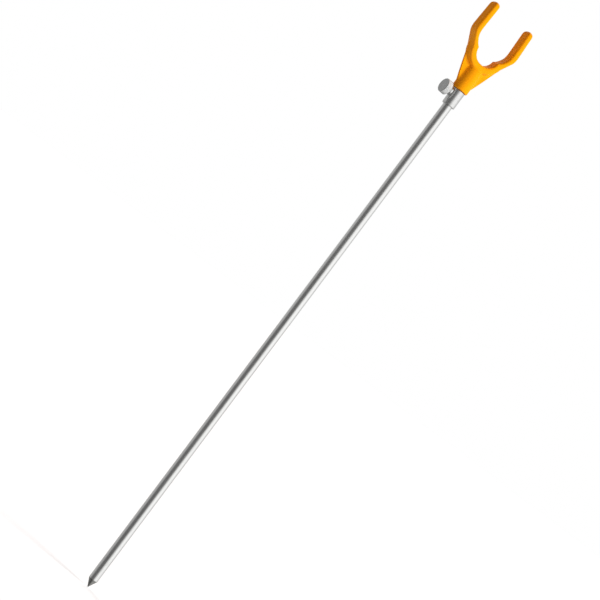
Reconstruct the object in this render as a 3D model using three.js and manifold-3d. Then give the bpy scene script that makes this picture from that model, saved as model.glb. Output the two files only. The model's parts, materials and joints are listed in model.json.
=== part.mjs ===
// Telescopic bank stick, closed, with a moulded rod rest screwed on top.
// Millimetres, +Z up the stick, origin at the point of the spike.
// The rest's two arms lie along X, and the thumbscrew points along -X.

import * as THREE from 'three';
import { mergeVertices } from 'three/addons/utils/BufferGeometryUtils.js';
import Module from 'manifold-3d';

const wasm = await Module();
wasm.setup();

// Fits shared by all mating pieces
const pressedClearance = 0.05; // radial, between pieces that are pressed or glued together
const runningClearance = 0.1; // radial or axial, between pieces that turn or slide
const seatGap = 0.3; // between faces that rest on each other and part when something moves
const cutOverrun = 1; // how far a cutter runs past the face that it opens

// Facets of the round pieces
const roundSegments = 48;
const screwSegments = 24;
const cornerSteps = 4;

// Spike, pressed into the foot of the outer tube
const spikeConeLength = 11;
const spikeTipRadius = 0.5;
const spikeTipHeight = 0.3;
const spikeSpigotLength = 20;
const spikeSpigotChamfer = 0.6;

// Outer tube and the inner tube that slides in it
const outerTubeDiameter = 12;
const outerTubeWall = 0.8;
const outerTubeLength = 691;
const tubeGap = 0.4; // radial, between the two tubes
const innerTubeWall = 0.8;
const innerTubeSetback = 131; // how much shorter the inner tube is

// Collar on the head of the outer tube
const collarWall = 2.3; // over the tube
const collarSocketDepth = 8; // how much of the tube it covers
const collarScrewLand = 4.55; // between the tube's end and the screw hole
const collarAboveScrew = 6.3; // from the screw's axis to the collar's top
const collarChamfer = 0.5;

// Thumbscrew that clamps the inner tube
const screwDiameter = 4.9;
const screwDepthInKnob = 9;
const padThickness = 0.8;
const knobStandOff = 0.65; // knob clear of the collar when tight
const knobNeckDiameter = 11;
const knobNeckLength = 1.2;
const knobConeLength = 3.6;
const knobRimLength = 7.7;
const knobDiameter = 18;
const knobChamfer = 0.5;
const knobFluteCount = 40;
const knobFluteRadius = 0.45;
const knobFluteDepth = 0.25;

// Plug and guide bush at the foot of the inner tube
const plugSpigotLength = 12;
const plugFlangeHeight = 1.5;
const plugGrooveDepth = 1; // from the tube's outside
const bushLength = 24;
const bushSlitWidth = 1.2;

// Threaded ferrule on the head of the inner tube, and the stud that screws into it
const studDiameter = 9.5;
const studThreadLength = 10.4;
const studNeckLength = 1.5;
const studHeadLength = 9;
const studHeadLip = 1; // how far the hexagon's corners stand out past the thread
const studHeadSides = 6;
const ferruleWall = 1.65;
const ferruleHeight = 12;
const ferruleFloor = 1;
const ferruleSpigotLength = 16;
const washerThickness = 1.5;

// Rod rest: the round column that covers the ferrule
const columnWall = 3.9; // round the ferrule's recess
const columnHeight = 25; // the straight part
const columnCrownHeight = 37; // where its crown ends under the pocket
const columnCrownRadius = 4.5;
const columnFootRound = 0.8;

// Rod rest: the band that makes the pocket and the two arms. Heights are above the rest's foot.
const bandDepth = 15.8; // along Y
const bandEdgeRadius = 3.2;
const pocketFloorHeight = 38.6;
const pocketFloorWidth = 3.6; // the flat strip that the rod lies on
const pocketRadius = 15;
const pocketBandWidth = 8.9; // at the floor
const lipAngle = 0.107; // radians that the pocket's wall stops short of upright
const bandBackAngle = 0.25; // the same for the band's outside
const ledgeHalfGap = 21.6;
const ledgeHeight = 54.6;
const shoulderHalfGap = 25.6;
const shoulderHeight = 62;
const armHalfGap = 27.1;
const armRootHeight = 71.3;
const armTipHalfGap = 25.9;
const armTipHeight = 100.2;
const armWidth = 8.2;
const armTipWidth = 7.8;
const armEndHeight = 5; // the rounded end
const shoulderBulge = 1.2; // how far the bends stand out past the arms' straight run

// Rod rest: the thin web between the column and the bends
const webThickness = 3;
const webEdgeRound = 0.6;
const webFootHeight = 4;
const webTopHalfWidth = 30.6;
const webTopHeight = 57.6;
const webBellyHalfWidth = 20;
const webBellyHeight = 26.5;

// Rings along each span of the band
const floorSteps = 1;
const pocketSteps = 12;
const ledgeSteps = 7;
const shoulderSteps = 4;
const armSteps = 3;
const endSteps = 5;
const crownSteps = 6;

// Radii that follow from the fits
const outerRadius = outerTubeDiameter / 2;
const outerBore = outerRadius - outerTubeWall;
const innerRadius = outerBore - tubeGap;
const innerBore = innerRadius - innerTubeWall;
const collarSocketRadius = outerRadius + pressedClearance;
const collarRadius = collarSocketRadius + collarWall;
const collarBore = innerRadius + runningClearance;
const screwRadius = screwDiameter / 2;
const screwHoleRadius = screwRadius + runningClearance;
const studRadius = studDiameter / 2;
const studHeadRadius = studRadius + studHeadLip;
const ferruleBore = studRadius + runningClearance;
const ferruleRadius = ferruleBore + ferruleWall;
const recessRadius = ferruleRadius + runningClearance;
const columnRadius = recessRadius + columnWall;

// Heights that follow from what stands on what
const outerTubeTop = spikeConeLength + outerTubeLength;
const collarFoot = outerTubeTop - collarSocketDepth;
const screwHeight = outerTubeTop + collarScrewLand + screwHoleRadius;
const collarTop = screwHeight + collarAboveScrew;
const innerTubeTop = collarTop + seatGap;
const innerTubeLength = outerTubeLength - innerTubeSetback;
const innerTubeFoot = innerTubeTop - innerTubeLength;
const ferruleTop = innerTubeTop + ferruleHeight;
const washerFoot = ferruleTop + runningClearance;
const washerTop = washerFoot + washerThickness;
const restFoot = innerTubeTop;
const recessTop = washerTop + runningClearance;

// A solid turned about Z from a list of [radius, height], counter-clockwise
function turned(profile, segments = roundSegments) {
  const points = profile.map(([radius, height]) => new THREE.Vector2(radius, height));
  return new THREE.LatheGeometry(points, segments).rotateX(Math.PI / 2);
}

function turnedTube(bore, radius, foot, top, segments = roundSegments) {
  return turned([[bore, foot], [radius, foot], [radius, top], [bore, top], [bore, foot]], segments);
}

function turnedRod(radius, foot, top, segments = roundSegments) {
  return turned([[0, foot], [radius, foot], [radius, top], [0, top]], segments);
}

// A closed geometry as a solid that can be joined and cut
function solidOf(geometry) {
  const bare = geometry.clone();
  bare.deleteAttribute('normal');
  bare.deleteAttribute('uv');
  const merged = mergeVertices(bare);
  const corners = merged.index.array;
  const triangles = [];
  for (let i = 0; i < corners.length; i += 3) {
    const [a, b, c] = [corners[i], corners[i + 1], corners[i + 2]];
    if (a !== b && b !== c && c !== a) triangles.push(a, b, c);
  }
  return new wasm.Manifold(new wasm.Mesh({
    numProp: 3,
    vertProperties: new Float32Array(merged.attributes.position.array),
    triVerts: new Uint32Array(triangles),
  }));
}

function geometryOf(solid) {
  const mesh = solid.getMesh();
  const geometry = new THREE.BufferGeometry();
  geometry.setAttribute('position', new THREE.BufferAttribute(mesh.vertProperties, 3));
  geometry.setIndex(new THREE.BufferAttribute(mesh.triVerts, 1));
  geometry.computeVertexNormals();
  return geometry;
}

// Turned point with a spigot that fills the tube's foot
function spikeGeometry() {
  const spigot = outerBore - pressedClearance;
  const spigotTop = spikeConeLength + spikeSpigotLength;
  return turned([
    [0, 0],
    [spikeTipRadius, spikeTipHeight],
    [outerRadius, spikeConeLength],
    [spigot, spikeConeLength],
    [spigot, spigotTop - spikeSpigotChamfer],
    [spigot - spikeSpigotChamfer, spigotTop],
    [0, spigotTop],
  ]);
}

// Collar: socket for the tube below, guide bore for the inner tube above, and a side hole for the screw
function collarGeometry() {
  const body = turned([
    [collarSocketRadius, collarFoot],
    [collarRadius - collarChamfer, collarFoot],
    [collarRadius, collarFoot + collarChamfer],
    [collarRadius, collarTop - collarChamfer],
    [collarRadius - collarChamfer, collarTop],
    [collarBore, collarTop],
    [collarBore, outerTubeTop],
    [collarSocketRadius, outerTubeTop],
    [collarSocketRadius, collarFoot],
  ]);
  const hole = turnedRod(screwHoleRadius, 0, collarRadius + cutOverrun, screwSegments);
  hole.rotateY(-Math.PI / 2).translate(0, 0, screwHeight);
  return geometryOf(solidOf(body).subtract(solidOf(hole)));
}

// Thumbscrew pieces are turned along Z, with height measured outward from the stick's axis
const padFoot = collarBore + pressedClearance;
const screwFoot = padFoot + padThickness + runningClearance;
const knobFoot = collarRadius + knobStandOff;
const screwTop = knobFoot + screwDepthInKnob;

function knobGeometry() {
  const neck = knobNeckDiameter / 2;
  const rim = knobDiameter / 2;
  const bore = screwRadius + pressedClearance;
  const boreTop = screwTop + pressedClearance;
  const coneFoot = knobFoot + knobNeckLength;
  const rimFoot = coneFoot + knobConeLength;
  const face = rimFoot + knobRimLength;
  const body = turned([
    [0, boreTop],
    [bore, boreTop],
    [bore, knobFoot],
    [neck, knobFoot],
    [neck, coneFoot],
    [rim - knobChamfer, rimFoot],
    [rim, rimFoot + knobChamfer],
    [rim, face - knobChamfer],
    [rim - knobChamfer, face],
    [0, face],
  ], 2 * knobFluteCount);
  let knob = solidOf(body);
  for (let i = 0; i < knobFluteCount; i += 1) {
    const angle = 2 * Math.PI * i / knobFluteCount;
    const reach = rim + knobFluteRadius - knobFluteDepth;
    const flute = turnedRod(knobFluteRadius, rimFoot - cutOverrun, face + cutOverrun, 2 * cornerSteps);
    flute.translate(reach * Math.cos(angle), reach * Math.sin(angle), 0);
    knob = knob.subtract(solidOf(flute));
  }
  return geometryOf(knob);
}

// Plug pressed into the inner tube, with a groove in which the guide bush runs
function plugGeometry() {
  const spigot = innerBore - pressedClearance;
  const groove = innerRadius - plugGrooveDepth;
  const grooveTop = innerTubeFoot - plugFlangeHeight;
  const grooveFoot = grooveTop - bushLength - 2 * runningClearance;
  const foot = grooveFoot - plugFlangeHeight;
  return turned([
    [0, foot],
    [innerRadius, foot],
    [innerRadius, grooveFoot],
    [groove, grooveFoot],
    [groove, grooveTop],
    [innerRadius, grooveTop],
    [innerRadius, innerTubeFoot],
    [spigot, innerTubeFoot],
    [spigot, innerTubeFoot + plugSpigotLength],
    [0, innerTubeFoot + plugSpigotLength],
  ]);
}

// Split bush that keeps the inner tube centred and stops it at the collar
function bushGeometry() {
  const bore = innerRadius - plugGrooveDepth + runningClearance;
  const radius = outerBore - runningClearance;
  const top = innerTubeFoot - plugFlangeHeight - runningClearance;
  const foot = top - bushLength;
  const slit = new THREE.BoxGeometry(2 * radius, bushSlitWidth, bushLength + 2 * cutOverrun);
  slit.translate(radius, 0, (foot + top) / 2);
  return geometryOf(solidOf(turnedTube(bore, radius, foot, top)).subtract(solidOf(slit)));
}

// Ferrule with the threaded hole, standing on the inner tube
function ferruleGeometry() {
  const spigot = innerBore - pressedClearance;
  return turned([
    [0, innerTubeTop - ferruleSpigotLength],
    [spigot, innerTubeTop - ferruleSpigotLength],
    [spigot, innerTubeTop],
    [ferruleRadius, innerTubeTop],
    [ferruleRadius, ferruleTop],
    [ferruleBore, ferruleTop],
    [ferruleBore, innerTubeTop + ferruleFloor],
    [0, innerTubeTop + ferruleFloor],
  ]);
}

// Threaded stud with a hexagonal head, larger by clearance when it is the rest's cavity
function studGeometry(clearance) {
  const neckTop = recessTop + studNeckLength - clearance;
  const shank = turnedRod(studRadius + clearance, recessTop - studThreadLength, neckTop + cutOverrun);
  const headTop = neckTop + studHeadLength + 2 * clearance;
  const head = turnedRod(studHeadRadius + clearance, neckTop, headTop, studHeadSides);
  return solidOf(shank).add(solidOf(head));
}

// One ring of the band between an inside and an outside point of its outline, shrunk towards its middle
function bandRing(inside, outside, size, rise) {
  const half = outside.clone().sub(inside).multiplyScalar(size / 2);
  const middle = inside.clone().add(outside).multiplyScalar(1 / 2);
  const halfDepth = size * bandDepth / 2;
  const halfWidth = half.length();
  const round = Math.min(size * bandEdgeRadius, halfWidth, halfDepth);
  const ring = [];
  for (const [signWidth, signDepth, start] of [[1, 1, 0], [-1, 1, 1], [-1, -1, 2], [1, -1, 3]]) {
    for (let step = 0; step <= cornerSteps; step += 1) {
      const angle = (start + step / cornerSteps) * Math.PI / 2;
      const across = signWidth * (halfWidth - round) + round * Math.cos(angle);
      const along = signDepth * (halfDepth - round) + round * Math.sin(angle);
      const share = across / halfWidth;
      ring.push([middle.x + half.x * share, along, middle.y + half.y * share + rise]);
    }
  }
  return ring;
}

// The inside and outside outlines of one half of the band, span by span
function bandSpans() {
  const at = (x, y) => new THREE.Vector2(x, y);
  const floorHalf = pocketFloorWidth / 2;
  const backRadius = pocketRadius + pocketBandWidth;
  const backFloor = pocketFloorHeight - pocketBandWidth;
  const centreHeight = pocketFloorHeight + pocketRadius;
  const pocket = new THREE.ArcCurve(floorHalf, centreHeight, pocketRadius, -Math.PI / 2, -lipAngle);
  const back = new THREE.ArcCurve(floorHalf, centreHeight, backRadius, -Math.PI / 2, -bandBackAngle);
  const shoulderOut = at(shoulderHalfGap + armWidth, shoulderHeight + shoulderBulge);
  const armRoot = at(armHalfGap, armRootHeight);
  const armRootOut = at(armHalfGap + armWidth, armRootHeight);
  const bend = at(armHalfGap, (shoulderHeight + armRootHeight) / 2 - shoulderBulge);
  const bendOut = at(armHalfGap + armWidth, (shoulderHeight + armRootHeight) / 2);
  const armTip = at(armTipHalfGap, armTipHeight);
  const armTipOut = at(armTipHalfGap + armTipWidth, armTipHeight);
  const shoulder = at(shoulderHalfGap, shoulderHeight);
  return [
    [
      new THREE.LineCurve(at(0, pocketFloorHeight), at(floorHalf, pocketFloorHeight)),
      new THREE.LineCurve(at(0, backFloor), at(floorHalf, backFloor)),
      floorSteps,
    ],
    [pocket, back, pocketSteps],
    [
      new THREE.QuadraticBezierCurve(pocket.getPoint(1), at(ledgeHalfGap, ledgeHeight), shoulder),
      new THREE.LineCurve(back.getPoint(1), shoulderOut),
      ledgeSteps,
    ],
    [
      new THREE.QuadraticBezierCurve(shoulder, bend, armRoot),
      new THREE.QuadraticBezierCurve(shoulderOut, bendOut, armRootOut),
      shoulderSteps,
    ],
    [new THREE.LineCurve(armRoot, armTip), new THREE.LineCurve(armRootOut, armTipOut), armSteps],
  ];
}

// The band as one closed skin of rings from the left arm's end to the right one's
function bandSolid() {
  const rings = [];
  for (const [inside, outside, steps] of bandSpans()) {
    for (let step = 0; step < steps; step += 1) {
      rings.push(bandRing(inside.getPoint(step / steps), outside.getPoint(step / steps), 1, 0));
    }
  }
  const tip = new THREE.Vector2(armTipHalfGap, armTipHeight);
  const tipOut = new THREE.Vector2(armTipHalfGap + armTipWidth, armTipHeight);
  for (let step = 0; step < endSteps; step += 1) {
    const angle = step / endSteps * Math.PI / 2;
    rings.push(bandRing(tip, tipOut, Math.cos(angle), armEndHeight * Math.sin(angle)));
  }
  const mirrored = rings.slice(1).reverse().map((ring) => ring.map(([x, y, z]) => [-x, y, z]));
  const skin = [...mirrored, ...rings];
  const ringSize = skin[0].length;
  const points = skin.flat(2);
  const poleX = armTipHalfGap + armTipWidth / 2;
  const poleHeight = armTipHeight + armEndHeight;
  points.push(-poleX, 0, poleHeight, poleX, 0, poleHeight);
  const leftPole = skin.length * ringSize;
  const lastRing = (skin.length - 1) * ringSize;
  const triangles = [];
  for (let i = 0; i < ringSize; i += 1) {
    const next = (i + 1) % ringSize;
    for (let ring = 0; ring < lastRing; ring += ringSize) {
      triangles.push(ring + i, ring + next, ring + ringSize + i);
      triangles.push(ring + next, ring + ringSize + next, ring + ringSize + i);
    }
    triangles.push(leftPole, next, i);
    triangles.push(leftPole + 1, lastRing + i, lastRing + next);
  }
  const geometry = new THREE.BufferGeometry();
  geometry.setAttribute('position', new THREE.Float32BufferAttribute(points, 3));
  geometry.setIndex(triangles);
  return solidOf(geometry);
}

// The column, with a crown that draws in towards the pocket's floor
function columnSolid() {
  const profile = [[0, 0], [columnRadius - columnFootRound, 0], [columnRadius, columnFootRound]];
  const crown = new THREE.QuadraticBezierCurve(
    new THREE.Vector2(columnRadius, columnHeight),
    new THREE.Vector2(columnRadius, (columnHeight + columnCrownHeight) / 2),
    new THREE.Vector2(columnCrownRadius, columnCrownHeight),
  );
  for (const point of crown.getPoints(crownSteps)) profile.push([point.x, point.y]);
  profile.push([0, columnCrownHeight]);
  return solidOf(turned(profile));
}

// The web fills the corners between the column and the band, in the middle of their depth
function webSolid() {
  const shape = new THREE.Shape();
  const edge = columnRadius - webEdgeRound;
  shape.moveTo(edge, webFootHeight);
  shape.quadraticCurveTo(webBellyHalfWidth, webBellyHeight, webTopHalfWidth, webTopHeight);
  shape.lineTo(pocketRadius + pocketBandWidth / 2, pocketFloorHeight);
  shape.lineTo(-pocketRadius - pocketBandWidth / 2, pocketFloorHeight);
  shape.lineTo(-webTopHalfWidth, webTopHeight);
  shape.quadraticCurveTo(-webBellyHalfWidth, webBellyHeight, -edge, webFootHeight);
  const plate = new THREE.ExtrudeGeometry(shape, {
    depth: webThickness - 2 * webEdgeRound,
    bevelThickness: webEdgeRound,
    bevelSize: webEdgeRound,
    bevelOffset: -webEdgeRound,
    bevelSegments: 2,
    curveSegments: 8,
  });
  plate.translate(0, 0, webEdgeRound - webThickness / 2).rotateX(Math.PI / 2);
  return solidOf(plate);
}

// The whole rest, hollowed for the ferrule, the washer and the stud
function restGeometry() {
  const outside = bandSolid().add(columnSolid()).add(webSolid()).translate([0, 0, restFoot]);
  const recess = solidOf(turnedRod(recessRadius, restFoot - cutOverrun, recessTop));
  return geometryOf(outside.subtract(recess).subtract(studGeometry(pressedClearance)));
}

function finish(color, metalness, roughness) {
  return () => new THREE.MeshStandardMaterial({ color, metalness, roughness });
}

const brushedAluminium = finish(0xb4b6b6, 1, 0.35);
const turnedAluminium = finish(0xbfc1c2, 1, 0.3);
const darkSteel = finish(0x7d7f80, 1, 0.4);
const brass = finish(0xb59a55, 1, 0.35);
const whiteNylon = finish(0xe4e2da, 0, 0.5);
const blackRubber = finish(0x202020, 0, 0.8);
const orangePlastic = finish(0xf09a10, 0, 0.35);

function piece(name, geometry, makeMaterial) {
  const mesh = new THREE.Mesh(geometry, makeMaterial());
  mesh.name = name;
  return mesh;
}

const stick = new THREE.Group();

stick.add(piece('ground_spike', spikeGeometry(), darkSteel));
const outerTube = turnedTube(outerBore, outerRadius, spikeConeLength, outerTubeTop);
stick.add(piece('outer_tube', outerTube, brushedAluminium));
stick.add(piece('lock_collar', collarGeometry(), turnedAluminium));

const innerSection = new THREE.Group();
const innerTube = turnedTube(innerBore, innerRadius, innerTubeFoot, innerTubeTop);
innerSection.add(piece('inner_tube', innerTube, brushedAluminium));
innerSection.add(piece('inner_plug', plugGeometry(), turnedAluminium));
innerSection.add(piece('guide_bush', bushGeometry(), whiteNylon));
innerSection.add(piece('thread_ferrule', ferruleGeometry(), brass));
stick.add(innerSection);

const thumbscrew = new THREE.Group();
const screwPad = turnedRod(screwRadius, padFoot, padFoot + padThickness, screwSegments);
thumbscrew.add(piece('screw_pad', screwPad, whiteNylon));
thumbscrew.add(piece('clamp_screw', turnedRod(screwRadius, screwFoot, screwTop, screwSegments), darkSteel));
thumbscrew.add(piece('clamp_knob', knobGeometry(), turnedAluminium));
thumbscrew.position.z = screwHeight;
thumbscrew.rotation.y = -Math.PI / 2;
stick.add(thumbscrew);

const restHead = new THREE.Group();
const washerBore = studRadius + runningClearance;
const washerRadius = recessRadius - runningClearance;
const threadWasher = turnedTube(washerBore, washerRadius, washerFoot, washerTop);
restHead.add(piece('thread_washer', threadWasher, blackRubber));
restHead.add(piece('rest_stud', geometryOf(studGeometry(0)), brass));
restHead.add(piece('rod_rest', restGeometry(), orangePlastic));
stick.add(restHead);

export default stick;
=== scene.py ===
import json
import math

import bmesh
import bpy
import numpy as np
from mathutils import Matrix, Vector


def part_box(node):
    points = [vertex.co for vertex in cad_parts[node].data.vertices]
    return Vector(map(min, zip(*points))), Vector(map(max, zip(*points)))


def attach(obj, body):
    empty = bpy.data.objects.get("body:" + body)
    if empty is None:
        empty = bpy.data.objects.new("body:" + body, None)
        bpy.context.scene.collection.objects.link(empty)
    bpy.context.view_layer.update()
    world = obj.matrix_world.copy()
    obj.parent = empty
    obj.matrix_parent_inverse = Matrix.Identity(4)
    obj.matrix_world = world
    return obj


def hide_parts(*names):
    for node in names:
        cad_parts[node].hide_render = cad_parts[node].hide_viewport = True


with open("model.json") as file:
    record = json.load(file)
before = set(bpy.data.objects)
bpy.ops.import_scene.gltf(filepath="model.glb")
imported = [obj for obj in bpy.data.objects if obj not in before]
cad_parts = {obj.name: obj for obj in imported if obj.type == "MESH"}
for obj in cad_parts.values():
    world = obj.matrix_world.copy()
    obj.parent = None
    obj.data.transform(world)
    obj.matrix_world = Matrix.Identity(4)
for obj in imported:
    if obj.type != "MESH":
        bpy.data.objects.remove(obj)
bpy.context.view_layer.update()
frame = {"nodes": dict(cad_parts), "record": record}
scene = bpy.context.scene
scene.view_settings.view_transform = "Standard"

# Camera, square to the stick at half its height and rolled as the photo is
shot = dict(
    turn=math.radians(31),  # round the stick, to its left
    roll=math.radians(36.81),  # how far the stick leans in the picture
    distance=2.5,
    width=0.6927,  # what the picture spans at the stick
    height=0.412,
    aside=0.002,  # how far the stick stands right of the picture's middle
)
rise = Vector((0, 0, 1))
level = Vector((math.cos(shot["turn"]), -math.sin(shot["turn"]), 0))
nearer = Vector((-math.sin(shot["turn"]), -math.cos(shot["turn"]), 0))


def makeCamera():
    right = level * math.cos(shot["roll"]) + rise * math.sin(shot["roll"])
    up = rise * math.cos(shot["roll"]) - level * math.sin(shot["roll"])
    target = rise * shot["height"] - level * shot["aside"]
    lens = bpy.data.cameras.new("photoCamera")
    lens.lens = lens.sensor_width * shot["distance"] / shot["width"]
    camera = bpy.data.objects.new("photoCamera", lens)
    turned = Matrix((right, up, nearer)).transposed().to_4x4()
    camera.matrix_world = Matrix.Translation(target + nearer * shot["distance"]) @ turned
    scene.collection.objects.link(camera)
    scene.camera = camera


makeCamera()
print("camera set")

millimetres = 1000  # in a metre. Shaders measure in millimetres, and all else is in metres.


# One output socket of a node tree. Arithmetic on it adds the Math nodes.
class Wire:
    def __init__(self, tree, socket=None):
        self.tree = tree
        self.socket = socket

    def node(self, kind, settings=None, sockets=None, output=0):
        made = self.tree.nodes.new("ShaderNode" + kind)
        for name, value in (settings or {}).items():
            setattr(made, name, value)
        for name, value in (sockets or {}).items():
            if isinstance(value, Wire):
                self.tree.links.new(value.socket, made.inputs[name])
            else:
                made.inputs[name].default_value = value
        return Wire(self.tree, made.outputs[output] if made.outputs else None)

    def maths(self, operation, first, second):
        return self.node("Math", {"operation": operation}, {0: first, 1: second})

    def __add__(self, other):
        return self.maths("ADD", self, other)

    def __radd__(self, other):
        return self.maths("ADD", other, self)

    def __sub__(self, other):
        return self.maths("SUBTRACT", self, other)

    def __rsub__(self, other):
        return self.maths("SUBTRACT", other, self)

    def __mul__(self, other):
        return self.maths("MULTIPLY", self, other)

    def __rmul__(self, other):
        return self.maths("MULTIPLY", other, self)

    def __pow__(self, other):
        return self.maths("POWER", self, other)

    def step(self, low, high):  # 0 below low, 1 above high, smooth between
        limits = {"Value": self, "From Min": low, "From Max": high}
        return self.node("MapRange", {"interpolation_type": "SMOOTHSTEP"}, limits)

    def stretch(self, scales):  # a vector times three numbers
        return self.node("VectorMath", {"operation": "MULTIPLY"}, {0: self, 1: scales})

    def noise(self, scale, detail=3, roughness=0.55):
        values = {"Vector": self, "Scale": scale, "Detail": detail, "Roughness": roughness}
        return self.node("TexNoise", None, values)

    # Patches where this noise is high: none below start, and whole above full
    def patches(self, scale, detail, roughness, start, full):
        return self.noise(scale, detail, roughness).step(start, full)

    def rings(self, scale, across=0.04):  # marks of turning round the stick's axis
        return self.stretch((across, across, 1)).noise(scale)

    def blend(self, first, second):  # this share of the second colour over the first
        return self.node("Mix", {"data_type": "RGBA"}, {0: self, 6: first, 7: second}, 2)

    def axes(self):  # the three parts of a vector
        split = self.node("SeparateXYZ", None, {0: self})
        return [Wire(self.tree, socket) for socket in split.socket.node.outputs]

    def position(self):  # on the piece, in millimetres
        return self.node("TexCoord", output="Object").stretch((millimetres, millimetres, millimetres))

    def bump(self, depth):  # a relief as deep as this, in millimetres
        return self.node("Bump", None, {"Height": self, "Strength": 1, "Distance": depth / millimetres})


# Studio: soft lamps, and a dome that metal sees, dark at the left and with a bright window at the right
lamps = dict(
    keyLamp=dict(turn=math.radians(66), lift=math.radians(16), strength=3.6, spread=math.radians(26)),
    backLamp=dict(turn=math.radians(-150), lift=math.radians(30), strength=1.2, spread=math.radians(30)),
    rimLamp=dict(turn=math.radians(165), lift=math.radians(30), strength=0.8, spread=math.radians(40)),
)
studio = dict(
    fill=0.215,  # what the dome gives to dull surfaces
    fillColor=(1, 0.38, 0.3, 1),
    level=0.52,  # how bright the dome is in metal
    bands=dict(  # how much brighter, and the angles right of the camera where it fades in and out
        card=(-0.36, -85, -50, -5, 28),
        rightSide=(0.18, 0, 46, 150, 180),
        window=(0.52, 10, 46, 85, 125),
        backWindow=(0.5, -176, -160, -150, -134),
    ),
    floorShade=0.5,  # how much darker the dome is towards the floor
    shadeStart=0.25,  # sines of the angles below level where that begins and is full
    shadeFull=0.7,
    floorSize=30,
    floorColor=(0.8, 0.8, 0.8, 1),
    floorGlow=0.48,  # lifts the lit floor to white for the camera
    glowColor=(0.85, 0.99, 1, 1),  # evens out the warm fill in the floor's shadow
)


def makeLamp(name, turn, lift, strength, spread):  # turned to the right of the camera, and raised
    lamp = bpy.data.lights.new(name, "SUN")
    lamp.energy = strength
    lamp.angle = spread
    aim = nearer * math.cos(turn) + level * math.sin(turn)
    aim = aim * math.cos(lift) + rise * math.sin(lift)
    holder = bpy.data.objects.new(name, lamp)
    holder.rotation_mode = "QUATERNION"
    holder.rotation_quaternion = aim.to_track_quat("Z", "Y")
    holder.location = aim * shot["distance"]
    holder.visible_glossy = False
    scene.collection.objects.link(holder)


def makeDome():
    world = bpy.data.worlds.new("studioDome")
    world.use_nodes = True
    world.cycles.sampling_method = "NONE"
    world.node_tree.nodes.clear()
    scene.world = world
    tree = Wire(world.node_tree)
    east, north, high = tree.node("TexCoord").axes()
    side = east * level.x + north * level.y
    front = east * nearer.x + north * nearer.y
    bearing = tree.maths("ARCTAN2", side, front)
    dome = studio["level"]
    for gain, *angles in studio["bands"].values():
        start, full, end, out = [math.radians(angle) for angle in angles]
        dome = dome + gain * bearing.step(start, full) * (1 - bearing.step(end, out))
    below = (-1 * high).step(studio["shadeStart"], studio["shadeFull"])
    dome = dome * (1 - studio["floorShade"] * below)
    seen = tree.node("LightPath", output="Is Camera Ray")
    glossy = tree.node("LightPath", output="Is Glossy Ray")
    through = tree.node("LightPath", output="Is Transmission Ray")
    mirror = tree.maths("MAXIMUM", glossy, through)
    strength = seen + (1 - seen) * (mirror * dome + (1 - mirror) * studio["fill"])
    color = tree.maths("MAXIMUM", seen, mirror).blend(studio["fillColor"], (1, 1, 1, 1))
    sky = tree.node("Background", None, {"Color": color, "Strength": strength})
    tree.node("OutputWorld", None, {"Surface": sky})


# Distances too small to be real, in metres
sameSpot = 1e-7
sameRadius = 1e-6

roundSegments = 96  # round a turned piece
sideShare = 0.45  # the most of a profile's side that the rounding of a corner takes up


# A profile of radius and height with its corners rounded
def softened(profile, reach, closed=False, steps=4):
    points = [np.array(point, float) for point in profile]
    rounded = []
    for index, corner in enumerate(points):
        if not closed and index in (0, len(points) - 1):
            rounded.append(corner)
            continue
        before = points[index - 1] - corner
        after = points[(index + 1) % len(points)] - corner
        start = corner + before * min(reach / np.linalg.norm(before), sideShare)
        end = corner + after * min(reach / np.linalg.norm(after), sideShare)
        for share in np.linspace(0, 1, steps + 1):
            middle = 2 * share * (1 - share)
            rounded.append(start * (1 - share) ** 2 + corner * middle + end * share**2)
    return rounded


# Points and faces of a piece turned about Z, with an open slit of this half angle
def spun(profile, closed=False, segments=roundSegments, shape=None, slit=0):
    profile = np.array(profile)
    count = len(profile)
    angles = np.linspace(slit, math.tau - slit, segments + 1)
    radius, angle = np.meshgrid(profile[:, 0], angles)
    height = np.broadcast_to(profile[:, 1], radius.shape)
    if shape:
        radius = shape(radius, height, angle)
    across, along = radius * np.cos(angle), radius * np.sin(angle)
    points = np.stack([across, along, height], axis=-1).reshape(-1, 3)
    faces = []
    for row in range(segments):
        for column in range(count if closed else count - 1):
            low = row * count + column
            high = row * count + (column + 1) % count
            faces.append((low, low + count, high + count, high))
    if slit:
        faces.append(tuple(range(count)))
        faces.append(tuple(segments * count + index for index in reversed(range(count))))
    return points, faces


# Turns a piece from the stick's axis onto the thumbscrew's, which points left at this height
def sideways(shape, height):
    points, faces = shape
    return np.stack([-points[:, 2], points[:, 1], points[:, 0] + height], axis=-1), faces


# Edges sharper than this angle, in degrees, stay sharp
def shaded(mesh, sharpAngle):
    mesh.polygons.foreach_set("use_smooth", [True] * len(mesh.polygons))
    mesh.set_sharp_from_angle(angle=math.radians(sharpAngle))
    return mesh


def meshOf(name, shape, sharpAngle=35):
    points, faces = shape
    mesh = bpy.data.meshes.new(name)
    mesh.from_pydata(points.tolist(), [], faces)
    welded = bmesh.new()
    welded.from_mesh(mesh)
    bmesh.ops.remove_doubles(welded, verts=welded.verts, dist=sameSpot)
    welded.to_mesh(mesh)
    welded.free()
    return shaded(mesh, sharpAngle)


def objectOf(name, mesh):
    made = bpy.data.objects.new(name, mesh)
    scene.collection.objects.link(made)
    return made


# The mesh of an object after one modifier
def modified(made, kind, settings):
    modifier = made.modifiers.new(kind, kind)
    for name, value in settings.items():
        setattr(modifier, name, value)
    bpy.context.view_layer.update()
    ready = made.evaluated_get(bpy.context.evaluated_depsgraph_get())
    mesh = bpy.data.meshes.new_from_object(ready)
    made.modifiers.remove(modifier)
    return mesh


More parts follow.
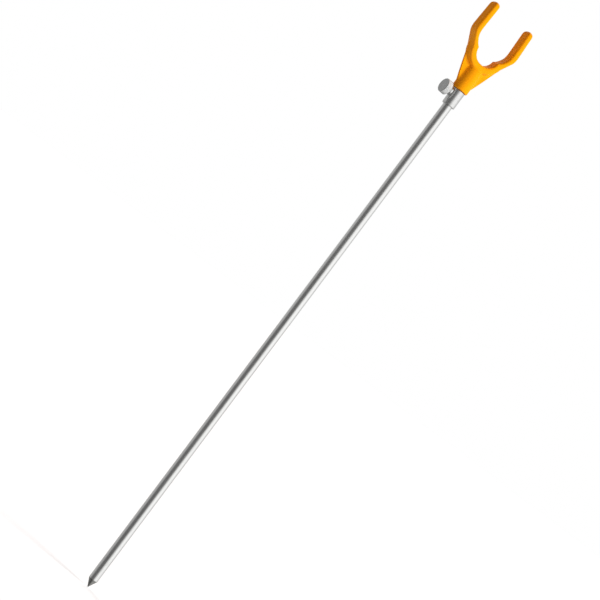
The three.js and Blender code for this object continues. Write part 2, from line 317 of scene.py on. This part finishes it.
def cutOut(mesh, shape):
    block = objectOf("block", mesh)
    cutter = objectOf("cutter", meshOf("cutter", shape))
    result = modified(block, "BOOLEAN", {"object": cutter, "operation": "DIFFERENCE", "solver": "EXACT"})
    bpy.data.objects.remove(cutter)
    bpy.data.objects.remove(block)
    return result


bodyOfNode = {}
for bodyName, members in frame["record"]["behaviour"]["bodies"].items():
    for member in members:
        bodyOfNode[member] = bodyName


# Puts a finished piece in place of its node, on the node's body
def place(name, node, mesh, finish):
    mesh.materials.clear()
    mesh.materials.append(finish)
    made = objectOf(name, mesh)
    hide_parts(node)
    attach(made, bodyOfNode[node])


# Radius, foot and top of a piece turned about the stick's axis
def upright(node):
    low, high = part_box(node)
    return high.x, low.z, high.z


# Radius, inner end, outer end and height of a piece turned about the thumbscrew's axis
def outward(node):
    low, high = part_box(node)
    return (high.z - low.z) / 2, -high.x, -low.x, (high.z + low.z) / 2


def materialOf(name, build):
    material = bpy.data.materials.new(name)
    material.use_nodes = True
    material.node_tree.nodes.clear()
    tree = Wire(material.node_tree)
    tree.node("OutputMaterial", None, {"Surface": build(tree)})
    return material


def paleFloor(tree):
    seen = tree.node("LightPath", output="Is Camera Ray")
    dull = tree.node("BsdfDiffuse", None, {"Color": studio["floorColor"]})
    strength = seen * studio["floorGlow"]
    glow = tree.node("Emission", None, {"Color": studio["glowColor"], "Strength": strength})
    return tree.node("AddShader", None, {0: dull, 1: glow})


def makeFloor():
    mesh = meshOf("floor", spun([(studio["floorSize"], 0), (0, 0)]))
    mesh.materials.append(materialOf("paleFloor", paleFloor))
    floor = objectOf("floor", mesh)
    floor.visible_glossy = False


for name, lamp in lamps.items():
    makeLamp(name, **lamp)
makeDome()
makeFloor()
print("studio set")

# Fits between mating pieces, and the height of the thumbscrew
fits = dict(pressed=0.00005, running=0.0001)
screwHeight = outward("clamp_screw")[3]


# Outer and inner tube. Scuffs, smudges and other patches are given as the noise's scale, detail and
# roughness, and the values where a patch begins and is whole.
tube = dict(
    wall=0.0008,
    edge=0.00018,
    pale=(0.8, 0.8, 0.79, 1),
    dark=(0.7, 0.7, 0.69, 1),
    tones=(0.25, 0.75),  # of the grain, where it is all dark and all pale
    soil=(0.3, 0.28, 0.25, 1),
    soilShare=0.5,
    soilFoot=12,  # how far up the foot wear begins to fade, and where it ends
    soilTop=130,
    fineGrain=3.2,  # cells per millimetre round the tube
    broadGrain=0.55,
    fineShare=0.55,  # of the two grains in the colour
    broadDepth=0.5,  # over the fine grain's depth
    grainLength=90,  # how much longer than wide a streak is
    grainDepth=0.0035,
    scuffs=(1.1, 6, 0.75, 0.57, 0.7),
    scuffScales=(1, 1, 0.12),
    handled=(0.16, 4, 0.6, 0.45, 0.75),
    handledScales=(1, 1, 0.2),
    roughness=0.24,
    grainRoughness=0.07,
    handledRoughness=0.05,
    wornRoughness=0.25,
)


def brushedTube(tree):
    at = tree.position()
    along = at.stretch((1, 1, 1 / tube["grainLength"]))
    fine = along.noise(tube["fineGrain"], 2)
    broad = along.noise(tube["broadGrain"], 2)
    height = at.axes()[2]
    scuffs = at.stretch(tube["scuffScales"]).patches(*tube["scuffs"])
    wear = scuffs * (1 - height.step(tube["soilFoot"], tube["soilTop"]))
    handled = at.stretch(tube["handledScales"]).patches(*tube["handled"])
    grain = tube["fineShare"] * fine + (1 - tube["fineShare"]) * broad
    color = grain.step(*tube["tones"]).blend(tube["dark"], tube["pale"])
    color = (wear * tube["soilShare"]).blend(color, tube["soil"])
    roughness = tube["roughness"] + tube["grainRoughness"] * fine
    roughness += tube["handledRoughness"] * handled + tube["wornRoughness"] * wear
    relief = (fine + tube["broadDepth"] * broad).bump(tube["grainDepth"])
    return tree.node("BsdfPrincipled", None, {
        "Base Color": color, "Metallic": 1, "Roughness": roughness, "Normal": relief,
    })


def makeTubes():
    finish = materialOf("brushedTube", brushedTube)
    for name, node in (("outerTube", "outer_tube"), ("innerTube", "inner_tube")):
        radius, foot, top = upright(node)
        bore = radius - tube["wall"]
        profile = softened([(bore, foot), (radius, foot), (radius, top), (bore, top)], tube["edge"], True)
        place(name, node, meshOf(name, spun(profile, True)), finish)


# Spike pressed into the tube's foot
spike = dict(
    tipRadius=0.0005,
    tipHeight=0.0003,
    edge=0.00012,
    step=0.00015,  # narrower than the tube at their seam
    pale=(0.52, 0.52, 0.5, 1),
    dark=(0.36, 0.36, 0.34, 1),
    tones=(0.3, 0.7),
    soil=(0.09, 0.075, 0.055, 1),
    soilBetween=0.5,  # how much of it stays between the scuffs
    stains=(0.5, 6, 0.7, 0.5, 0.72),
    stainShare=0.4,
    tipShare=0.35,  # of soil on the tip, up to where it fades out
    tipFade=(0.5, 5),
    scuffs=(1.6, 5, 0.7, 0.55, 0.68),
    scuffScales=(1, 1, 0.25),
    scuffDepth=0.6,  # over the rings' depth
    ringScale=5,
    ringDepth=0.006,
    roughness=0.33,
    ringRoughness=0.1,
    soilRoughness=0.2,
)


def turnedSpike(tree):
    at = tree.position()
    rings = at.rings(spike["ringScale"])
    stains = at.patches(*spike["stains"])
    scuffs = at.stretch(spike["scuffScales"]).patches(*spike["scuffs"])
    tip = 1 - at.axes()[2].step(*spike["tipFade"])
    kept = spike["soilBetween"] + (1 - spike["soilBetween"]) * scuffs
    soil = (stains * spike["stainShare"] + tip * spike["tipShare"]) * kept
    color = rings.step(*spike["tones"]).blend(spike["dark"], spike["pale"])
    color = soil.blend(color, spike["soil"])
    roughness = spike["roughness"] + spike["ringRoughness"] * rings + spike["soilRoughness"] * soil
    relief = (rings + spike["scuffDepth"] * scuffs).bump(spike["ringDepth"])
    return tree.node("BsdfPrincipled", None, {
        "Base Color": color, "Metallic": 1, "Roughness": roughness, "Normal": relief,
    })


def makeSpike():
    radius, foot, top = upright("ground_spike")
    shoulder = upright("outer_tube")[1]
    spigot = radius - tube["wall"] - fits["pressed"]
    side = radius - spike["step"]
    profile = softened([
        (0, foot),
        (spike["tipRadius"], foot + spike["tipHeight"]),
        (side, shoulder - spike["edge"]),
        (side, shoulder),
        (spigot, shoulder),
        (spigot, top),
        (0, top),
    ], spike["edge"])
    place("spike", "ground_spike", meshOf("spike", spun(profile)), materialOf("turnedSpike", turnedSpike))


makeTubes()
makeSpike()
print("tubes and spike made")

# Marks that all turned and polished metal has
turning = dict(
    tones=(0.3, 0.7),
    smudges=(0.22, 5, 0.65, 0.52, 0.75),
    smudgeShare=0.3,
    nicks=(1.4, 6, 0.8, 0.68, 0.74),
    nickShare=0.4,
    nickDepth=0.8,  # over the rings' depth
    ringRoughness=0.09,
    smudgeRoughness=0.08,
    nickRoughness=0.1,
)
collar = dict(
    edge=0.0005,
    soft=0.00018,
    holeEdge=0.0003,
    pale=(0.77, 0.77, 0.76, 1),
    dark=(0.66, 0.66, 0.65, 1),
    smudge=(0.5, 0.5, 0.49, 1),
    ringScale=6,
    ringDepth=0.004,
    roughness=0.25,
)


def turnedMetal(rings, at, look, tree, face=None):
    smudges = at.patches(*turning["smudges"])
    nicks = at.patches(*turning["nicks"])
    color = rings.step(*turning["tones"]).blend(look["dark"], look["pale"])
    marks = smudges * turning["smudgeShare"] + nicks * turning["nickShare"]
    color = marks.blend(color, look["smudge"])
    # painted reflection: the knob's flat face is given a darker colour than the turned metal around it
    if face:
        color = (face * look["paintedReflectionShare"]).blend(color, look["face"])
    roughness = look["roughness"] + turning["ringRoughness"] * rings
    roughness += turning["smudgeRoughness"] * smudges + turning["nickRoughness"] * nicks
    relief = (rings - turning["nickDepth"] * nicks).bump(look["ringDepth"])
    return tree.node("BsdfPrincipled", None, {
        "Base Color": color, "Metallic": 1, "Roughness": roughness, "Normal": relief,
    })


def turnedCollar(tree):
    at = tree.position()
    return turnedMetal(at.rings(collar["ringScale"]), at, collar, tree)


def makeCollar(finish):
    radius, foot, top = upright("lock_collar")
    tubeRadius, _, tubeTop = upright("outer_tube")
    socket = tubeRadius + fits["pressed"]
    bore = upright("inner_tube")[0] + fits["running"]
    hole = outward("clamp_screw")[0] + fits["running"]
    edge = collar["edge"]
    profile = softened([
        (socket, foot),
        (radius - edge, foot),
        (radius, foot + edge),
        (radius, top - edge),
        (radius - edge, top),
        (bore + edge / 2, top),
        (bore, top - edge / 2),
        (bore, tubeTop),
        (socket, tubeTop),
    ], collar["soft"], True)
    flare = hole + 2 * collar["holeEdge"]
    wall = radius - collar["holeEdge"]
    clear = radius + fits["running"]
    cutter = spun([(0, 0), (hole, 0), (hole, wall), (flare, clear), (0, clear)])
    body = cutOut(meshOf("collar", spun(profile, True)), sideways(cutter, screwHeight))
    place("collar", "lock_collar", body, finish)


# Plug and split bush at the inner tube's foot
plug = dict(soft=0.0002, grooveDepth=0.001)
bush = dict(
    soft=0.0002,
    slit=0.0012,
    pale=(0.86, 0.85, 0.81, 1),
    dark=(0.78, 0.76, 0.7, 1),
    tones=(0.3, 0.75),  # all pale and all dark
    clouds=(0.3, 4, 0.6),  # noise: scale, detail and roughness
    cloudShare=0.7,
    rubs=(1.5, 4, 0.7, 0.55, 0.7),
    rubScales=(1, 1, 0.05),
    grain=(2.5, 3, 0.6),
    grainDepth=0.01,
    roughness=0.42,
    grainRoughness=0.1,
    rubPolish=0.12,
)


def whiteNylon(tree):
    at = tree.position()
    clouds = at.noise(*bush["clouds"])
    grain = at.noise(*bush["grain"])
    rubbed = at.stretch(bush["rubScales"]).patches(*bush["rubs"])
    tone = bush["cloudShare"] * clouds + (1 - bush["cloudShare"]) * rubbed
    color = tone.step(*bush["tones"]).blend(bush["pale"], bush["dark"])
    roughness = bush["roughness"] + bush["grainRoughness"] * grain - bush["rubPolish"] * rubbed
    return tree.node("BsdfPrincipled", None, {
        "Base Color": color, "Roughness": roughness, "Normal": grain.bump(bush["grainDepth"]),
    })


def makePlug(finish):
    radius, foot, top = upright("inner_plug")
    tubeFoot = upright("inner_tube")[1]
    bushFoot, bushTop = upright("guide_bush")[1:]
    groove = radius - plug["grooveDepth"]
    spigot = radius - tube["wall"] - fits["pressed"]
    profile = softened([
        (0, foot),
        (radius, foot),
        (radius, bushFoot - fits["running"]),
        (groove, bushFoot - fits["running"]),
        (groove, bushTop + fits["running"]),
        (radius, bushTop + fits["running"]),
        (radius, tubeFoot),
        (spigot, tubeFoot),
        (spigot, top),
        (0, top),
    ], plug["soft"])
    place("plug", "inner_plug", meshOf("plug", spun(profile)), finish)


def makeBush(finish):
    radius, foot, top = upright("guide_bush")
    bore = upright("inner_plug")[0] - plug["grooveDepth"] + fits["running"]
    profile = softened([(bore, foot), (radius, foot), (radius, top), (bore, top)], bush["soft"], True)
    shape = spun(profile, True, slit=bush["slit"] / 2 / radius)
    place("bush", "guide_bush", meshOf("bush", shape), finish)


# A thread's form: how steep the sides of its valleys are, and how much of that its flat crest takes off
thread = dict(steepness=1.3, crest=0.12, sharpAngle=50)


# Cuts a thread into the rows of a profile that stand at its crest
def threaded(crest, look):
    def shape(radius, height, angle):
        turn = (height / look["pitch"] - angle / math.tau) % 1
        valley = np.clip(thread["steepness"] * (1 - np.abs(2 * turn - 1)) - thread["crest"], 0, 1)
        return np.where(radius > crest - sameRadius, radius - look["depth"] * valley, radius)

    return shape


def threadRows(radius, foot, top, look):
    count = max(2, round(abs(top - foot) / look["pitch"] * look["rows"]))
    return [(radius, foot + (top - foot) * index / count) for index in range(count + 1)]


# Thumbscrew: knob, screw and the pad that presses on the inner tube
screw = dict(
    pitch=0.0008,
    depth=0.0004,
    rows=10,  # of points in each turn of the thread
    segments=48,
    lead=0.0004,
    pale=(0.68, 0.68, 0.66, 1),
    dark=(0.5, 0.5, 0.47, 1),
    tones=(0.35, 0.7),
    clouds=(0.6, 5, 0.65),
    cloudShare=0.7,
    grain=(5, 3, 0.6),
    grainDepth=0.006,
    roughness=0.3,
    cloudRoughness=0.15,
)
knob = dict(
    edge=0.00055,
    soft=0.0002,
    neckRadius=0.0055,
    neckLength=0.0012,
    coneLength=0.0036,
    coneHollow=0.00035,
    coneSteps=8,
    flutes=64,
    fluteSteps=8,
    fluteDepth=0.00022,
    fluteForm=0.8,  # broader valleys below 1
    centreRadius=0.0009,  # centre-drill mark on the face
    centreDepth=0.0007,
    sharpAngle=40,
    pale=(0.8, 0.8, 0.79, 1),
    dark=(0.7, 0.7, 0.69, 1),
    smudge=(0.52, 0.52, 0.5, 1),
    face=(0.4, 0.405, 0.4, 1),  # painted reflection: the flat face is coloured darker than the turned rim, standing in for the dark reflection it shows
    paintedReflectionShare=0.85,
    faceFade=0.1,  # behind the face, in millimetres
    ringScale=4.5,
    ringDepth=0.006,
    roughness=0.3,
)


def turnedKnob(tree):
    at = tree.position()
    x, y, z = at.axes()
    above = z - screwHeight * millimetres
    distance = (y * y + above * above) ** 0.5
    rings = tree.node("CombineXYZ", None, {0: distance, 1: x}).noise(knob["ringScale"])
    front = outward("clamp_knob")[2] * millimetres
    # mask of the flat face, where the painted dark reflection goes
    return turnedMetal(rings, at, knob, tree, (-1 * x).step(front - knob["faceFade"], front))


def zincScrew(tree):
    at = tree.position()
    clouds = at.noise(*screw["clouds"])
    grain = at.noise(*screw["grain"])
    tone = screw["cloudShare"] * clouds + (1 - screw["cloudShare"]) * grain
    color = tone.step(*screw["tones"]).blend(screw["dark"], screw["pale"])
    roughness = screw["roughness"] + screw["cloudRoughness"] * clouds
    relief = grain.bump(screw["grainDepth"])
    return tree.node("BsdfPrincipled", None, {
        "Base Color": color, "Metallic": 1, "Roughness": roughness, "Normal": relief,
    })


def makeScrew():
    radius, foot, top, height = outward("clamp_screw")
    lead = screw["lead"]
    core = radius - screw["depth"]
    profile = [(0, foot), (core, foot)] + threadRows(radius, foot + lead, top - lead, screw)
    profile += [(core, top), (0, top)]
    shape = spun(profile, segments=screw["segments"], shape=threaded(radius, screw))
    mesh = meshOf("clampScrew", sideways(shape, height), thread["sharpAngle"])
    place("clampScrew", "clamp_screw", mesh, materialOf("zincScrew", zincScrew))


def makeKnob():
    radius, foot, face, height = outward("clamp_knob")
    boreRadius, _, boreTop, _ = outward("clamp_screw")
    boreRadius += fits["pressed"]
    boreTop += fits["pressed"]
    neck = knob["neckRadius"]
    edge = knob["edge"]
    coneFoot = foot + knob["neckLength"]
    rimFoot = coneFoot + knob["coneLength"]
    cone = []
    for share in np.linspace(0, 1, knob["coneSteps"] + 1):
        hollow = knob["coneHollow"] * 4 * share * (1 - share)
        across = neck + (radius - edge - neck) * share
        cone.append((across - hollow, coneFoot + knob["coneLength"] * share + hollow))
    profile = softened(
        [(0, boreTop), (boreRadius, boreTop), (boreRadius, foot), (neck, foot)]
        + cone
        + [(radius, rimFoot + edge), (radius, face - edge), (radius - edge, face)]
        + [(knob["centreRadius"], face), (0, face - knob["centreDepth"])],
        knob["soft"],
    )

    def fluted(around, height, angle):
        ridge = (0.5 - 0.5 * np.cos(knob["flutes"] * angle)) ** knob["fluteForm"]
        near = np.clip((around - radius + edge) / edge, 0, 1)
        return around - knob["fluteDepth"] * ridge * near

    shape = spun(profile, segments=knob["fluteSteps"] * knob["flutes"], shape=fluted)
    mesh = meshOf("knob", sideways(shape, height), knob["sharpAngle"])
    place("knob", "clamp_knob", mesh, materialOf("turnedKnob", turnedKnob))


def makePad(finish):
    radius, foot, top, height = outward("screw_pad")
    profile = softened([(0, foot), (radius, foot), (radius, top), (0, top)], bush["soft"])
    place("pad", "screw_pad", meshOf("pad", sideways(spun(profile), height)), finish)


turnedFinish = materialOf("turnedCollar", turnedCollar)
nylonFinish = materialOf("whiteNylon", whiteNylon)
makeCollar(turnedFinish)
makePlug(turnedFinish)
makeBush(nylonFinish)
makePad(nylonFinish)
makeScrew()
makeKnob()
print("collar, thumbscrew, plug and bush made")

# Ferrule with its threaded hole, the stud that screws into it, and the washer between
ferrule = dict(
    soft=0.0002,
    edge=0.0004,
    wall=0.00165,
    floor=0.001,
    pitch=0.00127,
    depth=0.00075,
    rows=12,
    pale=(0.78, 0.63, 0.33, 1),
    dark=(0.66, 0.5, 0.24, 1),
    smudge=(0.4, 0.29, 0.14, 1),
    ringScale=5,
    ringDepth=0.004,
    roughness=0.24,
)
stud = dict(
    neckLength=0.0015,
    headLip=0.001,
    threadLength=0.0104,
)
washer = dict(
    soft=0.0003,
    pale=(0.035, 0.035, 0.034, 1),
    dark=(0.018, 0.018, 0.018, 1),
    dust=(0.7, 5, 0.7, 0.5, 0.8),
    dustShare=0.5,
    dustRoughness=0.15,
    grain=(3, 4, 0.6),
    grainDepth=0.02,
    roughness=0.7,
)


def turnedBrass(tree):
    at = tree.position()
    return turnedMetal(at.rings(ferrule["ringScale"]), at, ferrule, tree)


def blackRubber(tree):
    at = tree.position()
    grain = at.noise(*washer["grain"])
    dust = at.patches(*washer["dust"])
    tone = (1 - washer["dustShare"]) * grain + washer["dustShare"] * dust
    color = tone.blend(washer["dark"], washer["pale"])
    roughness = washer["roughness"] + washer["dustRoughness"] * dust
    return tree.node("BsdfPrincipled", None, {
        "Base Color": color, "Roughness": roughness, "Normal": grain.bump(washer["grainDepth"]),
    })


def makeFerrule(finish):
    radius, foot, top = upright("thread_ferrule")
    tubeRadius, _, seat = upright("inner_tube")
    spigot = tubeRadius - tube["wall"] - fits["pressed"]
    bore = radius - ferrule["wall"]
    floor = seat + ferrule["floor"]
    edge = ferrule["edge"]
    outside = softened([
        (0, foot),
        (spigot, foot),
        (spigot, seat),
        (radius, seat),
        (radius, top - edge),
        (radius - edge, top),
        (bore + edge, top),
        (bore, top - edge),
    ], ferrule["soft"])
    rows = threadRows(bore, top - edge, floor + edge, ferrule)
    profile = outside[:-1] + rows + [(bore - edge, floor), (0, floor)]

    def shape(around, height, angle):
        cut = threaded(bore, ferrule)(around, height, angle)
        return np.where((around < bore + sameRadius) & (height > floor), cut, around)

    mesh = meshOf("ferrule", spun(profile, shape=shape), thread["sharpAngle"])
    place("ferrule", "thread_ferrule", mesh, finish)


# Corner radius, thread radius, foot, thread's top and top of the stud
def studSizes():
    low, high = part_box("rest_stud")
    corner = max(high.x, high.y)
    return corner, corner - stud["headLip"], low.z, low.z + stud["threadLength"], high.z


# Radius of the stud's hexagonal head at an angle, from the radius of its corners
def hexagonal(corner, angle):
    half = math.pi / 6  # of the angle that a side takes up
    return corner * math.cos(half) / np.cos((angle + half) % (2 * half) - half)


def makeStud(finish):
    corner, radius, foot, threadTop, top = studSizes()
    neckTop = threadTop + stud["neckLength"]
    lead = ferrule["edge"]
    core = radius - ferrule["depth"]
    profile = [(0, foot), (core, foot)] + threadRows(radius, foot + lead, threadTop - lead, ferrule)
    profile += [(core, threadTop), (core, neckTop), (corner, neckTop), (corner, top), (0, top)]

    def shape(around, height, angle):
        cut = threaded(radius, ferrule)(around, height, angle)
        return np.where(around > radius + sameRadius, hexagonal(around, angle), cut)

    place("stud", "rest_stud", meshOf("stud", spun(profile, shape=shape), thread["sharpAngle"]), finish)


def makeWasher():
    radius, foot, top = upright("thread_washer")
    bore = upright("thread_ferrule")[0] - ferrule["wall"]
    profile = softened([(bore, foot), (radius, foot), (radius, top), (bore, top)], washer["soft"], True)
    mesh = meshOf("washer", spun(profile, True))
    place("washer", "thread_washer", mesh, materialOf("blackRubber", blackRubber))


brassFinish = materialOf("turnedBrass", turnedBrass)
makeFerrule(brassFinish)
makeStud(brassFinish)
makeWasher()
print("ferrule, stud and washer made")

# Rod rest: the model's solid with every inside corner filled as a moulding is, and its hollows cut again
rest = dict(
    voxel=0.0005,
    smoothRounds=14,
    smoothIn=0.5,  # each round draws the points in, and then out again
    smoothOut=0.52,
    filletRounds=70,
    filletShare=0.7,
    edgeRounds=40,
    edgeRadius=0.0016,  # sharper outside edges than this are worn down
    footEdge=0.0005,
    sharpAngle=45,
    pale=(0.96, 0.41, 0.003, 1),
    deep=(0.92, 0.345, 0.002, 1),
    tones=(0.3, 0.7),
    worn=(0.97, 0.45, 0.03, 1),
    flow=(0.09, 5, 0.6),
    flowScales=(1, 1, 0.35),
    flowShare=0.7,
    mottle=(0.8, 4, 0.6),
    scratches=(1.1, 6, 0.75, 0.6, 0.68),
    scratchScales=(1, 0.25, 1),
    scratchShare=0.3,
    grain=(2, 3, 0.6),
    grainDepth=0.012,
    seamWidth=0.12,
    seamDepth=0.03,
    roughness=0.42,
    mottleRoughness=0.1,
    scratchRoughness=0.08,
    shine=0.12,
)


def orangePlastic(tree):
    at = tree.position()
    flow = at.stretch(rest["flowScales"]).noise(*rest["flow"])
    mottle = at.noise(*rest["mottle"])
    grain = at.noise(*rest["grain"])
    scratches = at.stretch(rest["scratchScales"]).patches(*rest["scratches"])
    seam = 1 - tree.maths("ABSOLUTE", at.axes()[1], 0).step(0, rest["seamWidth"])
    tone = rest["flowShare"] * flow + (1 - rest["flowShare"]) * mottle
    color = tone.step(*rest["tones"]).blend(rest["deep"], rest["pale"])
    color = (scratches * rest["scratchShare"]).blend(color, rest["worn"])
    roughness = rest["roughness"] + rest["mottleRoughness"] * mottle
    roughness += rest["scratchRoughness"] * scratches
    relief = (grain - scratches) * rest["grainDepth"] + seam * rest["seamDepth"]
    return tree.node("BsdfPrincipled", None, {
        "Base Color": color,
        "Roughness": roughness,
        "Normal": relief.bump(1),
        "Specular IOR Level": rest["shine"],
    })


# The model's solid of the rest with its hollows closed, as one fine mesh
def closedRest(foot, recess):
    radius = recess + rest["voxel"]
    top = studSizes()[-1]
    filler = meshOf("filler", spun([(0, foot), (radius, foot), (radius, top), (0, top)]))
    joined = bmesh.new()
    joined.from_mesh(frame["nodes"]["rod_rest"].data)
    joined.from_mesh(filler)
    mesh = bpy.data.meshes.new("restBlock")
    joined.to_mesh(mesh)
    joined.free()
    block = objectOf("restBlock", mesh)
    mesh = modified(block, "REMESH", {"mode": "VOXEL", "voxel_size": rest["voxel"]})
    bpy.data.objects.remove(block)
    return mesh


# The middle of each point's neighbours, less the point
def pull(points, pairs, counts):
    total = np.zeros_like(points)
    for axis in range(3):
        total[:, axis] = np.bincount(pairs[:, 0], points[pairs[:, 1], axis], len(points))
        total[:, axis] += np.bincount(pairs[:, 1], points[pairs[:, 0], axis], len(points))
    return total / counts[:, None] - points


def smoothed(points, pairs, counts):
    for _ in range(rest["smoothRounds"]):
        points = points + rest["smoothIn"] * pull(points, pairs, counts)
        points = points - rest["smoothOut"] * pull(points, pairs, counts)
    return points


# Fills the inside corners of the rest's mesh and wears its sharp edges down
def fillCorners(mesh):
    points = np.zeros(3 * len(mesh.vertices))
    mesh.vertices.foreach_get("co", points)
    points = points.reshape(-1, 3)
    pairs = np.zeros(2 * len(mesh.edges), np.int64)
    mesh.edges.foreach_get("vertices", pairs)
    pairs = pairs.reshape(-1, 2)
    counts = np.bincount(pairs.ravel(), minlength=len(points)).astype(float)
    points = smoothed(points, pairs, counts)
    normals = np.zeros(points.size)
    worn = rest["voxel"] ** 2 / 4 / rest["edgeRadius"]  # how far points of such an edge stand out
    for turn in range(rest["filletRounds"]):
        mesh.vertices.foreach_set("co", points.ravel())
        mesh.update()
        mesh.vertices.foreach_get("normal", normals)
        outwards = normals.reshape(-1, 3)
        lift = np.sum(pull(points, pairs, counts) * outwards, axis=1)
        move = np.maximum(lift, 0)
        if turn < rest["edgeRounds"]:
            move += np.minimum(lift + worn, 0)
        points = points + rest["filletShare"] * move[:, None] * outwards
    points = smoothed(points, pairs, counts)
    points = np.clip(points, *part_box("rod_rest"))
    mesh.vertices.foreach_set("co", points.ravel())
    mesh.update()


# The hollow for the ferrule and the washer, with its mouth widened
def recessHollow(foot, recess):
    top = upright("thread_washer")[2] + fits["running"]
    edge = rest["footEdge"]
    mouth = recess + 2 * edge
    return spun([(0, foot - edge), (mouth, foot - edge), (recess, foot + edge), (recess, top), (0, top)])


# The hollow that the stud fills in the plastic
def studHollow():
    corner, radius, _, threadTop, top = studSizes()
    corner += fits["pressed"]
    radius += fits["pressed"]
    top += fits["pressed"]
    start = threadTop - fits["running"]
    neckTop = threadTop + stud["neckLength"] - fits["pressed"]
    profile = [(0, start), (radius, start), (radius, neckTop), (corner, neckTop), (corner, top), (0, top)]

    def shape(around, height, angle):
        return np.where(around > radius + sameRadius, hexagonal(around, angle), around)

    return spun(profile, shape=shape)


def makeRest():
    foot = upright("rod_rest")[1]
    recess = upright("thread_ferrule")[0] + fits["running"]
    mesh = closedRest(foot, recess)
    fillCorners(mesh)
    mesh = cutOut(mesh, recessHollow(foot, recess))
    mesh = shaded(cutOut(mesh, studHollow()), rest["sharpAngle"])
    place("rodRest", "rod_rest", mesh, materialOf("orangePlastic", orangePlastic))


makeRest()
print("rod rest made")


print("all pieces made")
